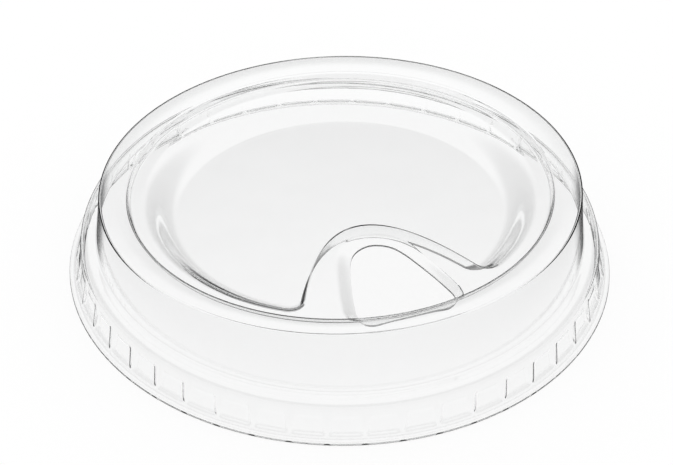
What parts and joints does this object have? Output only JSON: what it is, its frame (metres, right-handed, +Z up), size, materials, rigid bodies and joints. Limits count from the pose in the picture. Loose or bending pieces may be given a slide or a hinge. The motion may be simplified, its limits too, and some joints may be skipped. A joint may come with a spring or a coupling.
{
  "type": "sipper cup lid",
  "caption": "Clear plastic cold cup lid with a sloping hollow rim, a sunken deck, a rounded-triangle sip hole and a flared skirt with snap panels.",
  "frame": {"origin": "middle of the flange's flat underside, which the lid rests on", "axes": "+Z up through the lid, -Y towards the sip hole, +X to the right seen from the sipper side"},
  "size_m": [0.1018, 0.102, 0.0224],
  "materials": {
    "clear_sheet": "clear, glossy, thermoformed sheet"
  },
  "bodies": {
    "root": {"lid_shell": "clear_sheet"}
  },
  "joints": []
}
